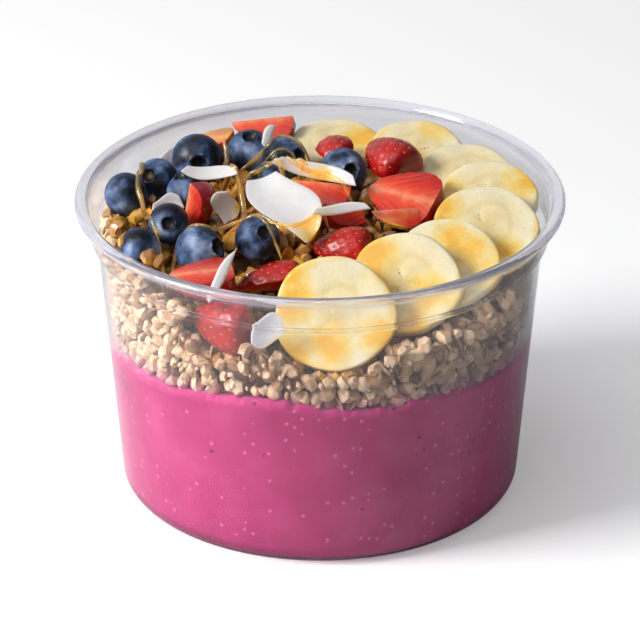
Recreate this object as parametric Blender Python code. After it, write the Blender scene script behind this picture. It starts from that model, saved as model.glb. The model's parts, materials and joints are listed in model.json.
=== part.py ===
"""Pitaya bowl: a clear plastic cup filled with pitaya smoothie, a layer of granola, and fresh fruit on top.

Metres, +Z up. The origin is the middle of the cup's foot, and -Y is the side that faces the viewer.
Run it with: blender --background --python part.py
"""

import math
import random

import bmesh
import bpy
from mathutils import Euler, Vector
from mathutils.bvhtree import BVHTree

MM = 0.001

# Cup: a 16 oz round tub with a stacking ledge under its rolled rim.
CUP_HEIGHT = 75.0 * MM
RIM_RADIUS = 58.5 * MM
WALL = 0.7 * MM
FOOT_RADIUS = 44.3 * MM
BASE_RADIUS = 48.3 * MM
LEDGE_RADIUS = 53.2 * MM
LEDGE_HEIGHT = 64.4 * MM
LEDGE_STEP = 1.6 * MM
NECK_RADIUS = 56.0 * MM
LIP_DROP = 2.3 * MM
FOOT_RECESS = 1.2 * MM
ROUND_STEPS = 60
CORE_STEPS = 24

# Layers inside it. GAP keeps touching pieces from sharing faces.
GAP = 0.3 * MM
MOST_DROP = 4.0 * MM
SMOOTHIE_LEVEL = 43.0 * MM
GRANOLA_CROWN = 67.5 * MM
GRANOLA_SHELF = 2.6 * MM
# By direction round the cup, from +X to the left: fall of the bare mound, and height of the lumps at the wall, in mm.
GRANOLA_FALL = (16, 14, 5, 3, 0, 15, 18, 18)
GRANOLA_EDGE = (58, 61, 64, 67, 69, 65, 58, 60)
LUMP_PITCH = 8.4 * MM

# Fruit.
BANANA_RADIUS = 14.2 * MM
BANANA_THICKNESS = 4.0 * MM
STRAWBERRY_LENGTH = 27.0 * MM
STRAWBERRY_RADIUS = 11.0 * MM
COCONUT_THICKNESS = 0.9 * MM

COLOURS = {
    "clear_plastic": ((0.86, 0.88, 0.90, 0.35), 0.08),
    "smoothie": ((0.60, 0.07, 0.28, 1.0), 0.45),
    "granola": ((0.62, 0.44, 0.28, 1.0), 0.80),
    "blueberry": ((0.05, 0.07, 0.15, 1.0), 0.50),
    "strawberry": ((0.66, 0.05, 0.03, 1.0), 0.30),
    "banana": ((0.88, 0.74, 0.42, 1.0), 0.50),
    "coconut": ((0.90, 0.88, 0.84, 1.0), 0.55),
}


def clear_scene():
    for obj in list(bpy.data.objects):
        bpy.data.objects.remove(obj, do_unlink=True)


def material(slot):
    """The Principled material of one slot, made the first time it is asked for."""
    made = bpy.data.materials.get(slot)
    if made:
        return made
    colour, roughness = COLOURS[slot]
    made = bpy.data.materials.new(slot)
    made.use_nodes = True
    shader = made.node_tree.nodes["Principled BSDF"]
    shader.inputs["Base Color"].default_value = colour
    shader.inputs["Roughness"].default_value = roughness
    shader.inputs["Metallic"].default_value = 0.0
    shader.inputs["Alpha"].default_value = colour[3]
    return made


def add_object(name, bm, slot, smooth_angle=40.0):
    """Puts a bmesh into the scene as a named object, shaded smooth with its real edges kept sharp."""
    mesh = bpy.data.meshes.new(name)
    bm.to_mesh(mesh)
    bm.free()
    mesh.materials.append(material(slot))
    mesh.shade_smooth()
    mesh.set_sharp_from_angle(angle=math.radians(smooth_angle))
    obj = bpy.data.objects.new(name, mesh)
    bpy.context.scene.collection.objects.link(obj)
    return obj


def turned(outline, steps):
    """A closed solid turned from (radius, height) points that run from pole to pole."""
    bm = bmesh.new()
    points = [bm.verts.new((radius, 0.0, height)) for radius, height in outline]
    edges = [bm.edges.new(pair) for pair in zip(points, points[1:])]
    bmesh.ops.spin(
        bm, geom=points + edges, cent=(0, 0, 0), axis=(0, 0, 1), angle=math.tau, steps=steps, use_merge=True
    )
    bmesh.ops.remove_doubles(bm, verts=bm.verts, dist=1e-6)
    bmesh.ops.recalc_face_normals(bm, faces=bm.faces)
    return bm


def arc(centre, radius, start_deg, end_deg, steps):
    """Points of an arc in the (radius, height) plane, both ends included."""
    angles = [math.radians(start_deg + (end_deg - start_deg) * i / steps) for i in range(steps + 1)]
    return [(centre[0] + radius * math.cos(a), centre[1] + radius * math.sin(a)) for a in angles]


def smooth_step(value, low, high):
    share = min(1.0, max(0.0, (value - low) / (high - low)))
    return share * share * (3 - 2 * share)


# ---------------------------------------------------------------- the cup


def inner_radius(height):
    """Inside radius of the cup's tapered wall, between the base corner and the ledge."""
    share = (height - FOOT_RECESS) / (LEDGE_HEIGHT - FOOT_RECESS)
    return BASE_RADIUS - WALL + (LEDGE_RADIUS - BASE_RADIUS) * share


def build_cup():
    corner = BASE_RADIUS - FOOT_RADIUS
    floor = FOOT_RECESS + WALL
    foot_width = 4.5 * MM
    lip_bottom = CUP_HEIGHT - LIP_DROP
    shoulder = LEDGE_RADIUS + LEDGE_STEP
    outside = [(0.0, FOOT_RECESS), (FOOT_RADIUS - foot_width - FOOT_RECESS, FOOT_RECESS)]
    outside += [(FOOT_RADIUS - foot_width, 0.0)]
    outside += arc((FOOT_RADIUS, corner), corner, -90, 0, 3)
    outside += [(LEDGE_RADIUS, LEDGE_HEIGHT), (shoulder, LEDGE_HEIGHT + 0.7 * MM)]
    outside += [(NECK_RADIUS, lip_bottom)]
    lip_height = CUP_HEIGHT - lip_bottom
    lip_centre = (RIM_RADIUS - lip_height / 2, lip_bottom + lip_height / 2)
    lip = arc(lip_centre, lip_height / 2, -80, 90, 4)
    inside = [(NECK_RADIUS - 0.1 * MM, CUP_HEIGHT - 0.25 * MM), (NECK_RADIUS - WALL, CUP_HEIGHT - WALL * 1.6)]
    inside += [(shoulder - WALL, LEDGE_HEIGHT + 1.2 * MM), (LEDGE_RADIUS - WALL, LEDGE_HEIGHT + 0.4 * MM)]
    inside += arc((FOOT_RADIUS, floor + corner - WALL), corner - WALL, 0, -90, 3)
    inside += [(0.0, floor)]
    return add_object("cup", turned(outside + lip + inside, ROUND_STEPS), "clear_plastic", 50)


# ---------------------------------------------------------------- smoothie and granola core


def smoothie_top(x, y):
    """Height of the smoothie under the granola: level in the middle, wavy where it meets the wall."""
    angle = math.atan2(y, x)
    reach = smooth_step(math.hypot(x, y), 20 * MM, 50 * MM)
    wave = 1.1 * math.sin(3 * angle + 0.6) + 0.7 * math.sin(7 * angle + 2.0)
    left_dip = 3.0 * max(0.0, -math.cos(angle)) ** 6
    return SMOOTHIE_LEVEL + (wave - left_dip) * MM * reach


def round_the_cup(values, angle):
    """Blends values that are given at equal steps round the cup."""
    share = (angle % math.tau) / math.tau * len(values)
    before = int(share) % len(values)
    blend = smooth_step(share - int(share), 0, 1)
    return values[before] * (1 - blend) + values[(before + 1) % len(values)] * blend


def granola_top(x, y):
    """Height of the bare granola: a mound that falls away to the front and right, where the banana lies."""
    fall = round_the_cup(GRANOLA_FALL, math.atan2(y, x)) * MM
    return GRANOLA_CROWN - fall * smooth_step(math.hypot(x, y), 14 * MM, 50 * MM)


def build_smoothie():
    floor = FOOT_RECESS + WALL + GAP
    corner = BASE_RADIUS - FOOT_RADIUS
    outline = [(0.0, floor)]
    outline += arc((FOOT_RADIUS - GAP, floor + corner - WALL), corner - WALL, -90, 0, 3)
    outline += [(radius * MM, SMOOTHIE_LEVEL) for radius in (50, 38, 22, 0)]
    bm = turned(outline, 2 * CORE_STEPS)
    for vert in bm.verts:
        if vert.co.z > SMOOTHIE_LEVEL - MM:
            radius = vert.co.xy.length
            vert.co.z = smoothie_top(vert.co.x, vert.co.y)
            if radius > 45 * MM:
                vert.co.xy *= (inner_radius(vert.co.z) - GAP) / radius
    return add_object("smoothie", bm, "smoothie")


def granola_core():
    """The granola without its loose-looking lumps, a little smaller than the room that it has."""
    rim = 50 * MM
    outline = [(0, 0), (22 * MM, 0), (38 * MM, 0), (rim, 0)]
    outline += [(rim, 1), (43 * MM, 1), (33 * MM, 1), (18 * MM, 1), (0, 1)]
    bm = turned(outline, CORE_STEPS)
    for vert in bm.verts:
        top = vert.co.z > 0.5
        radius = vert.co.xy.length
        if radius > 49 * MM:
            height = granola_top(*vert.co.xy) if top else smoothie_top(*vert.co.xy) + GAP
            vert.co.xy *= (inner_radius(height) - GRANOLA_SHELF) / radius
        x, y = vert.co.xy
        vert.co.z = granola_top(x, y) - (1.2 * MM if radius > 49 * MM else 0) if top else smoothie_top(x, y) + 2 * GAP
    return bm


# ---------------------------------------------------------------- laying things down


def tree_of(bm):
    return BVHTree.FromBMesh(bm)


def mesh_tree(obj):
    bm = bmesh.new()
    bm.from_mesh(obj.data)
    tree = tree_of(bm)
    bm.free()
    return tree


def touches(bm, laid):
    tree = tree_of(bm)
    return any(tree.overlap(other) for other in laid)


def shift(bm, offset):
    bmesh.ops.translate(bm, verts=bm.verts, vec=offset)


def lay(name, bm, slot, x, y, z, laid, smooth_angle=40.0):
    """Puts a piece at (x, y, z) in mm, lifts it clear of what lies there, and lets it down until it almost touches."""
    shift(bm, Vector((x * MM, y * MM, z * MM)))
    lift = 0.6 * MM
    drop = 0.08 * MM
    while touches(bm, laid):
        shift(bm, Vector((0, 0, lift)))
    for _ in range(int(MOST_DROP / drop)):
        shift(bm, Vector((0, 0, -drop)))
        if touches(bm, laid):
            break
    shift(bm, Vector((0, 0, drop + GAP)))
    laid.append(tree_of(bm))
    return add_object(name, bm, slot, smooth_angle)


def turn(bm, *degrees):
    """Turns a piece about X, then Y, then Z, and puts its box's middle on the origin."""
    rotation = Euler([math.radians(angle) for angle in degrees]).to_matrix()
    bmesh.ops.rotate(bm, verts=bm.verts, cent=(0, 0, 0), matrix=rotation)
    corners = [[min(v.co[i] for v in bm.verts), max(v.co[i] for v in bm.verts)] for i in range(3)]
    shift(bm, Vector([-(low + high) / 2 for low, high in corners]))
    return bm


# ---------------------------------------------------------------- banana

# Slices in the order that they are laid, back to front: x, y, z in mm, tilt from flat, compass direction that the
# upper face looks in, and width against the usual slice.
BANANA_SLICES = (
    (4.2, 41, 68, 8, -90, 0.78),
    (23.8, 32.4, 67.4, 17, -95, 0.80),
    (35.6, 16.8, 65.5, 18, -100, 0.82),
    (40.8, 4.2, 66, 23, -100, 0.81),
    (39.4, -9.8, 67, 27, -98, 0.89),
    (30.2, -22.6, 66, 34, -98, 0.85),
    (20.2, -31, 65.4, 44, -100, 0.92),
    (3.8, -39.2, 63, 56, -98, 1.00),
)


def banana_slice(width):
    """A round cut with softened edges and the faint corners of a peeled banana."""
    radius = BANANA_RADIUS * width
    half = BANANA_THICKNESS / 2
    soft = 0.8 * MM
    outline = [(0, -half), (radius - soft, -half), (radius, -half + soft)]
    outline += [(radius, half - soft), (radius - soft, half), (0, half)]
    bm = turned(outline, 20)
    for vert in bm.verts:
        angle = math.atan2(vert.co.y, vert.co.x)
        vert.co.xy *= 1 + 0.018 * math.cos(3 * angle) + 0.014 * math.cos(5 * angle)
        vert.co.y *= 0.94
    return bm


def lay_bananas(laid):
    for number, (*place, tilt, looks, width) in enumerate(BANANA_SLICES, 1):
        bm = turn(banana_slice(width), tilt, 0, looks + 90)
        lay(f"banana_slice_{number}", bm, "banana", *place, laid)


# ---------------------------------------------------------------- strawberry

# name: how it is cut, x, y, z, how far it is laid down (0 is tip down, 90 is flat), rolled and turned, and its
# size against a whole berry. Flat, unrolled and unturned, its cut sides are up and its tip is at the back.
STRAWBERRIES = {
    "strawberry_front_wall": ("half", -22.4, -40.2, 61, 0, 90, -29, 0.64),
    "strawberry_front_cut": ("half", -27.4, -32.4, 67, 86, 0, 98, 0.60),
    "strawberry_front_long": ("quarter", -11.6, -26.5, 68, 90, 180, 98, 0.64),
    "strawberry_back_left": ("half", -27.5, 40, 70, 75, 0, 75, 0.50),
    "strawberry_back_tall": ("quarter", -14, 44.5, 71, 80, 15, 80, 0.62),
    "strawberry_back": ("chunk", 3.5, 30, 74, 90, 160, 30, 0.55),
    "strawberry_left": ("chunk", -28.6, -2.2, 73, 10, 0, 75, 0.62),
    "strawberry_middle_back": ("quarter", -0.5, 4.0, 72.5, 90, 20, 80, 0.66),
    "strawberry_middle": ("chunk", 5.4, -6.0, 73, 75, -15, -60, 0.62),
    "strawberry_middle_right": ("quarter", 18, -12.5, 70, 90, 10, 100, 0.46),
    "strawberry_middle_front": ("half", 5.2, -17, 71, 90, 180, 80, 0.56),
    "strawberry_right_cut": ("half", 20.5, 0, 75.6, 90, -30, 60, 0.70),
    "strawberry_right_skin": ("half", 18, 19.3, 74.6, 80, 180, 35, 0.60),
}


def strawberry_whole():
    """A berry along Z, tip down, its leaves pulled off, as (radius, height) shares of its size."""
    shares = [(0, -0.50), (0.32, -0.44), (0.66, -0.26), (0.92, -0.02)]
    shares += [(1.0, 0.20), (0.90, 0.36), (0.55, 0.43), (0, 0.43)]
    return turned([(STRAWBERRY_RADIUS * r, STRAWBERRY_LENGTH * z) for r, z in shares], 12)


def cut_away(bm, point, normal):
    """Slices off what lies beyond a plane and closes the cut."""
    everything = bm.verts[:] + bm.edges[:] + bm.faces[:]
    bmesh.ops.bisect_plane(bm, geom=everything, plane_co=point, plane_no=normal, clear_outer=True, dist=1e-6)
    bmesh.ops.holes_fill(bm, edges=[edge for edge in bm.edges if edge.is_boundary])
    bmesh.ops.recalc_face_normals(bm, faces=bm.faces)


def strawberry_piece(cut, size):
    """A berry cut lengthwise, with its skin towards -Y."""
    bm = strawberry_whole()
    if cut == "half":
        cut_away(bm, (0, 0, 0), (0, 1, 0))
    if cut in ("quarter", "chunk"):
        cut_away(bm, (0, 0, 0), (1, 1, 0))
        cut_away(bm, (0, 0, 0), (-1, 1, 0))
    if cut == "chunk":
        cut_away(bm, (0, 0, -0.14 * STRAWBERRY_LENGTH), (0, 0, -1))
    bmesh.ops.scale(bm, verts=bm.verts, vec=(size, size, size))
    return bm


def lay_strawberries(laid):
    for name, (cut, x, y, z, *turns, size) in STRAWBERRIES.items():
        lay(name, turn(strawberry_piece(cut, size), *turns), "strawberry", x, y, z, laid, 35)


# ---------------------------------------------------------------- blueberries

# x, y, z, width in mm, then where the crown looks: its tip from upright, and its turn from the front to the right.
BLUEBERRIES = (
    (-46.5, 5, 72.5, 10.8, 70, 60),
    (-39.4, 15, 72, 10.4, 55, -30),
    (-30, 25.5, 72, 12.8, 76, 8),
    (-17.2, 34, 72.5, 11.2, 20, 0),
    (-8.8, 26, 73, 11.2, 65, 55),
    (5.6, 16.2, 73, 11.6, 65, 25),
    (-32, 6.8, 70.4, 9.8, 20, -90),
    (-12.5, 10.5, 72, 10.2, 40, -60),
    (-42.4, -15.2, 69, 10.4, 60, 100),
    (-35.8, -8.2, 71, 9.8, 65, 0),
    (-28.3, -17.6, 70, 12.2, 65, 60),
    (-14.7, -16.5, 71.6, 10.8, 50, 30),
)


def blueberry(width):
    """A slightly flat berry along Z with the five-pointed crown round its sunk blossom end."""
    lobes = 5
    radius = width * MM / 2
    flat = 0.92
    crown = [(0, 0.80), (0.17, 0.80), (0.27, 1.02), (0.37, 0.93)]
    body = [(math.sin(math.radians(a)), math.cos(math.radians(a))) for a in (45, 72, 100, 130, 155)]
    bm = turned([(radius * r, radius * flat * z) for r, z in crown + body + [(0, -1)]], 2 * lobes)
    for vert in bm.verts:
        share = vert.co.xy.length / radius
        if 0.24 < share < 0.30 and vert.co.z > 0:
            point = 0.5 + 0.5 * math.cos(lobes * math.atan2(vert.co.y, vert.co.x))
            vert.co.xy *= 1 + 0.22 * point
            vert.co.z += 0.05 * radius * point
    return bm


def lay_blueberries(laid):
    for number, (*place, width, tip, spin) in enumerate(BLUEBERRIES, 1):
        lay(f"blueberry_{number:02d}", turn(blueberry(width), tip, 0, spin), "blueberry", *place, laid)


# ---------------------------------------------------------------- coconut flakes

# name: length, width, how pointed one end is, bend, x, y, z, turns about X, Y and Z.
COCONUT = {
    "coconut_big": (22, 12.5, 0.3, -30, -8.5, -12, 72, 22, 22, -57),
    "coconut_round": (8, 6, 0, 40, -22.5, -4, 72.5, 70, 80, 0),
    "coconut_small": (7.5, 5.5, 0, 30, -36.2, -0.6, 75.2, 60, 0, 20),
    "coconut_strip_left": (13, 4, 0, 50, -26.4, 5.4, 75.5, 30, 0, -10),
    "coconut_strip_middle": (21, 4, 0, 60, -1.5, 5, 76, 60, 8, -22),
    "coconut_thin_right": (13, 2.6, 0, 30, 5.0, -16, 74, 60, 0, 8),
    "coconut_thin_front": (13, 2.4, 1, 20, -22.5, -39, 75, 40, -40, 50),
    "coconut_back_left": (8, 6, 0, 40, -36.5, 31.5, 72, 70, 0, 30),
    "coconut_back": (6, 2.4, 0, 30, -12.6, 30, 73.5, 40, -30, 60),
    "coconut_wall": (7.5, 8, 0, 30, -11.8, -47, 66, 80, 0, 10),
}


def coconut_flake(length, width, pointed, bend):
    """A pared chip: a thin strip bent along its length, one edge thinner and shorter than the other."""
    columns, rows = 6, 2
    bm = bmesh.new()
    bmesh.ops.create_grid(bm, x_segments=columns, y_segments=rows, size=0.5)
    bmesh.ops.triangulate(bm, faces=bm.faces)
    arc_radius = length / math.radians(bend)
    for vert in bm.verts:
        along, across = vert.co.x, vert.co.y
        taper = 1 - (1.8 + 1.9 * pointed * (along > 0)) * along * along
        angle = along * math.radians(bend) * (1 - 0.2 * across)
        vert.co.x = arc_radius * math.sin(angle) * MM
        vert.co.y = (across * taper * width + 0.12 * width * math.sin(5 * along)) * MM
        vert.co.z = (arc_radius * (1 - math.cos(angle)) + 0.5 * across * across * width) * MM
    top = bm.faces[:]
    made = bmesh.ops.extrude_face_region(bm, geom=top)
    raised = [item for item in made["geom"] if isinstance(item, bmesh.types.BMVert)]
    bmesh.ops.translate(bm, verts=raised, vec=(0, 0, COCONUT_THICKNESS))
    bmesh.ops.recalc_face_normals(bm, faces=bm.faces)
    return bm


def lay_coconut(laid):
    for name, (length, width, pointed, bend, x, y, z, *turns) in COCONUT.items():
        lay(name, turn(coconut_flake(length, width, pointed, bend), *turns), "coconut", x, y, z, laid)


# ---------------------------------------------------------------- granola lumps


def granola_lump(rng, size):
    """One baked cluster: an uneven twenty-sided stone."""
    bm = bmesh.new()
    bmesh.ops.create_icosphere(bm, subdivisions=1, radius=size / 2)
    for vert in bm.verts:
        vert.co *= rng.uniform(0.82, 1.14)
    bmesh.ops.scale(bm, verts=bm.verts, vec=(1.0, rng.uniform(0.75, 0.95), rng.uniform(0.7, 0.9)))
    return turn(bm, rng.uniform(0, 360), rng.uniform(0, 360), rng.uniform(0, 360))


def side_spots(rng):
    """Places against the wall, in staggered rows from the smoothie up to where the granola ends."""
    for row in range(5):
        height = SMOOTHIE_LEVEL + (0.3 + row * 0.8) * LUMP_PITCH
        count = int(math.tau * inner_radius(height) / LUMP_PITCH)
        for i in range(count):
            angle = math.tau * (i + 0.5 * (row % 2) + rng.uniform(-0.15, 0.15)) / count
            edge = inner_radius(height) - GRANOLA_SHELF
            spot = Vector((edge * math.cos(angle), edge * math.sin(angle), height + rng.uniform(-0.8, 0.8) * MM))
            highest = round_the_cup(GRANOLA_EDGE, angle) * MM - 0.3 * LUMP_PITCH
            if smoothie_top(*spot.xy) + 1.8 * MM < spot.z < highest:
                yield spot


def top_spots():
    """Places on the mound, in rings, from the middle outwards."""
    for ring in range(5):
        radius = ring * 1.3 * LUMP_PITCH
        for i in range(max(1, 6 * ring)):
            angle = math.tau * (i + 0.4 * (ring % 2)) / max(1, 6 * ring)
            x, y = radius * math.cos(angle), radius * math.sin(angle)
            yield Vector((x, y, granola_top(x, y)))


def build_granola(laid):
    """The core with lumps on its sides and top. Where fruit is in the way a lump is smaller, or left out."""
    rng = random.Random(11)
    core = add_object("granola", granola_core(), "granola", 30)
    core_tree = mesh_tree(core)
    lumps = bpy.data.collections.new("lumps")
    for spot in list(side_spots(rng)) + list(top_spots()):
        for size in (rng.uniform(0.86, 1.1), 0.6):
            bm = granola_lump(rng, size * LUMP_PITCH)
            shift(bm, spot)
            too_far = max(v.co.xy.length - inner_radius(v.co.z) for v in bm.verts) + GAP
            shift(bm, Vector((spot.x, spot.y, 0)).normalized() * -max(0.0, too_far))
            if touches(bm, [core_tree]) and not touches(bm, laid):
                lump = bpy.data.objects.new("lump", bpy.data.meshes.new("lump"))
                bm.to_mesh(lump.data)
                lumps.objects.link(lump)
                break
    fuse(core, lumps)


def fuse(core, lumps):
    """Joins the lumps to the core with one Boolean union, applies it and removes the lumps."""
    union = core.modifiers.new("lumps", "BOOLEAN")
    union.operation = "UNION"
    union.operand_type = "COLLECTION"
    union.solver = "EXACT"
    union.collection = lumps
    bpy.context.view_layer.update()
    graph = bpy.context.evaluated_depsgraph_get()
    joined = bpy.data.meshes.new_from_object(core.evaluated_get(graph))
    core.modifiers.clear()
    core.data = joined
    for lump in list(lumps.objects):
        bpy.data.objects.remove(lump, do_unlink=True)
    bpy.data.collections.remove(lumps)


def main():
    clear_scene()
    laid = [mesh_tree(build_cup()), mesh_tree(build_smoothie())]
    bare_core = granola_core()
    laid.append(tree_of(bare_core))
    bare_core.free()
    lay_bananas(laid)
    lay_strawberries(laid)
    lay_blueberries(laid)
    lay_coconut(laid)
    del laid[2]
    build_granola(laid)


main()
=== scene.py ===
import json
import math
import random

import bmesh
import bpy
from mathutils import Euler, Matrix, Vector, noise
from mathutils.bvhtree import BVHTree

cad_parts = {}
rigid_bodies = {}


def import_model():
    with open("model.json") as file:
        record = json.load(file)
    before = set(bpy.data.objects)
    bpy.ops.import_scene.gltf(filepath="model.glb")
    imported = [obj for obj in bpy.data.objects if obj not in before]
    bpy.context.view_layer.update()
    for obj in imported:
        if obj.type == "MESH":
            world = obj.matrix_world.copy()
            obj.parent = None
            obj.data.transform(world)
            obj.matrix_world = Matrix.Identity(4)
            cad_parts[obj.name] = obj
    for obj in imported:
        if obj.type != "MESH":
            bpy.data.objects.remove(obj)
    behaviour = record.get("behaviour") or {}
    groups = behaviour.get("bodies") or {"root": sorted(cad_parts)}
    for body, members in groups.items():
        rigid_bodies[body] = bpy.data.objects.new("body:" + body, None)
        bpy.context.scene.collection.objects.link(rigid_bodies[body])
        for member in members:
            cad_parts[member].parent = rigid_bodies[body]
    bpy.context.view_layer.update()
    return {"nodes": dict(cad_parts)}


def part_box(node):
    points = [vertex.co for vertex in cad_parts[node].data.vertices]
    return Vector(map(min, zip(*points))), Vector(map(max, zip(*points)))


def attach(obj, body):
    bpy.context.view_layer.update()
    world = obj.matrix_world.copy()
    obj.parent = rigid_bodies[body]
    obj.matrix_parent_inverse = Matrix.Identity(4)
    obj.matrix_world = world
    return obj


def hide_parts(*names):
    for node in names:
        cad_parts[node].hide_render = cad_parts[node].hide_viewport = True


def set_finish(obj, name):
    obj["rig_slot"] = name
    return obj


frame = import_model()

# A pitaya bowl as it is handed over the counter: a clear tub of pink smoothie, a layer of granola against
# the wall, and cut fruit, blueberries, coconut and honey on top. Lengths are in mm until a mesh is placed.
MM = 0.001
METRE = 1000


# ---------------------------------------------------------------- stage
# A pale floor, a large soft lamp high on the left, a weak overhead panel and a pale sky. The camera stands
# a metre from the rim and looks down 25 degrees. Lengths in this section alone are in metres.

CAMERA_TILT = math.radians(25)
CAMERA_DISTANCE = 1.0
CAMERA_LENS = 236
RIM_MIDDLE = Vector((0, 0, 0.075))
LOOKS_AT = Vector((0, 0, 0.041))
FLOOR_REACH = 3.0
FLOOR_GAP = 0.0004


def linear(colour):
    """An sRGB hex colour as linear red, green, blue and alpha."""
    shares = [int(colour[i:i + 2], 16) / 255 for i in (1, 3, 5)]
    return (*[s / 12.92 if s <= 0.04045 else ((s + 0.055) / 1.055) ** 2.4 for s in shares], 1.0)


def add_node(tree, kind, links=None, stops=None, **settings):
    """Adds a node. Links gives its sockets a value, a node's socket, or a node for its first live output.
    Stops are a colour ramp's."""
    made = tree.nodes.new("ShaderNode" + kind)
    for name, value in settings.items():
        setattr(made, name, value)
    for socket, value in (links or {}).items():
        if isinstance(value, bpy.types.Node):
            value = next(out for out in value.outputs if out.enabled)
        if isinstance(value, bpy.types.NodeSocket):
            tree.links.new(value, made.inputs[socket])
        else:
            made.inputs[socket].default_value = value
    if stops:
        ramp = made.color_ramp.elements
        while len(ramp) < len(stops):
            ramp.new(0.5)
        for stop, (place, colour) in zip(ramp, stops):
            stop.position = place
            stop.color = linear(colour)
    return made


def new_material(name):
    """An empty material and its node tree."""
    made = bpy.data.materials.new(name)
    made.use_nodes = True
    made.node_tree.nodes.clear()
    return made, made.node_tree


def soft_lamp(name, azimuth, elevation, distance, size, power):
    """A square area lamp that looks at the rim. Azimuth 0 is the front and -90 the left."""
    light = bpy.data.lights.new(name, "AREA")
    light.size = size
    light.energy = power
    lamp = bpy.data.objects.new(name, light)
    a, e = math.radians(azimuth), math.radians(elevation)
    back = Vector((math.sin(a) * math.cos(e), -math.cos(a) * math.cos(e), math.sin(e)))
    lamp.location = RIM_MIDDLE + back * distance
    lamp.rotation_euler = back.to_track_quat("Z", "Y").to_euler()
    bpy.context.scene.collection.objects.link(lamp)


camera = bpy.data.objects.new("camera", bpy.data.cameras.new("camera"))
camera.data.sensor_width = 36
camera.data.lens = CAMERA_LENS
camera_side = Vector((0, -math.cos(CAMERA_TILT), math.sin(CAMERA_TILT)))
camera.location = RIM_MIDDLE + CAMERA_DISTANCE * camera_side
camera.rotation_euler = (camera.location - LOOKS_AT).to_track_quat("Z", "Y").to_euler()
camera.data.clip_start = 0.05
bpy.context.scene.collection.objects.link(camera)
bpy.context.scene.camera = camera
bpy.context.scene.view_settings.view_transform = "Standard"

soft_lamp("window_left", azimuth=-70, elevation=34, distance=1.1, size=0.42, power=12)
soft_lamp("panel_above", azimuth=-35, elevation=74, distance=1.0, size=0.6, power=1.6)

sky = bpy.data.worlds.new("studio")
sky.use_nodes = True
sky.node_tree.nodes.clear()
tree = sky.node_tree
# White walls on the left and dark ones on the right, which leave one side of the bowl in shade. They look
# brighter than the light they throw.
ray = add_node(tree, "LightPath").outputs["Is Diffuse Ray"]
towards = add_node(tree, "SeparateXYZ", {0: add_node(tree, "TexCoord").outputs["Generated"]}).outputs[0]
seen = add_node(tree, "MapRange", {0: towards, 1: -0.5, 2: 0.7, 3: 0.85, 4: 0.16})
thrown = add_node(tree, "MapRange", {0: towards, 1: -0.5, 2: 0.7, 3: 0.24, 4: 0.07})
strength = add_node(tree, "Mix", {0: ray, 2: seen, 3: thrown})
walls = add_node(tree, "Background", {"Color": linear("#f2f3f8"), "Strength": strength})
add_node(tree, "OutputWorld", {"Surface": walls})
bpy.context.scene.world = sky

floor_mesh = bmesh.new()
bmesh.ops.create_grid(floor_mesh, x_segments=1, y_segments=1, size=FLOOR_REACH)
floor = bpy.data.objects.new("floor", bpy.data.meshes.new("floor"))
floor_mesh.to_mesh(floor.data)
floor_mesh.free()
floor.location.z = -FLOOR_GAP
bpy.context.scene.collection.objects.link(floor)
# White paper, lit from below as on a light table, which only the camera sees.
floor_paper, tree = new_material("white_paper")
shader = add_node(tree, "BsdfDiffuse", {"Color": linear("#fbfbfb")})
bright = add_node(tree, "Emission", {"Color": linear("#ffffff"), "Strength": 0.28})
direct = add_node(tree, "LightPath").outputs["Is Camera Ray"]
glow = add_node(tree, "MixShader", {0: direct, 2: bright})
paper = add_node(tree, "AddShader", {0: shader, 1: glow})
add_node(tree, "OutputMaterial", {"Surface": paper})
floor.data.materials.append(floor_paper)


# ---------------------------------------------------------------- cup
# A 16 oz round deli tub: clear PET, thermoformed in one piece. Its wall tapers, a step near the top stacks
# the next tub, and the rim is rolled outwards into a bead that the lid snaps over.

CUP_HEIGHT = 75.0
RIM_RADIUS = 58.5
WALL = 0.7
FOOT_RADIUS = 44.3
FOOT_WIDTH = 4.5
FOOT_RECESS = 1.2
BASE_RADIUS = 48.3
LEDGE_RADIUS = 53.2
LEDGE_HEIGHT = 64.4
LEDGE_STEP = 1.6
# Where the step starts and ends, against the ledge's height, on the outside and on the inside.
STEP_OUTSIDE = (-0.4, 1.3)
STEP_INSIDE = (0.1, 1.8)
NECK_RADIUS = 56.0
LIP_DROP = 2.3
ROUND_STEPS = 180


def arc(centre, radius, start_deg, end_deg, steps):
    """Points of an arc in the (radius, height) plane, both ends included."""
    angles = [math.radians(start_deg + (end_deg - start_deg) * i / steps) for i in range(steps + 1)]
    return [(centre[0] + radius * math.cos(a), centre[1] + radius * math.sin(a)) for a in angles]


def turned(outline, steps):
    """A closed solid spun from (radius, height) points that run from pole to pole."""
    bm = bmesh.new()
    points = [bm.verts.new((radius, 0.0, height)) for radius, height in outline]
    edges = [bm.edges.new(pair) for pair in zip(points, points[1:])]
    bmesh.ops.spin(
        bm, geom=points + edges, cent=(0, 0, 0), axis=(0, 0, 1), angle=math.tau, steps=steps, use_merge=True
    )
    bmesh.ops.remove_doubles(bm, verts=bm.verts, dist=1e-4)
    bmesh.ops.recalc_face_normals(bm, faces=bm.faces)
    return bm


def soften(bm, edges, width, segments):
    """Rounds some edges over a width in mm."""
    bmesh.ops.bevel(
        bm, geom=edges, offset=width, segments=segments, profile=0.5, affect="EDGES", clamp_overlap=True,
        material=-1,
    )


def round_edges(bm, sharper_than, width, segments):
    """Rounds every edge that turns by more than an angle in degrees."""
    limit = math.radians(sharper_than)
    edges = [e for e in bm.edges if len(e.link_faces) == 2 and e.calc_face_angle() > limit]
    soften(bm, edges, width, segments)


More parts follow.
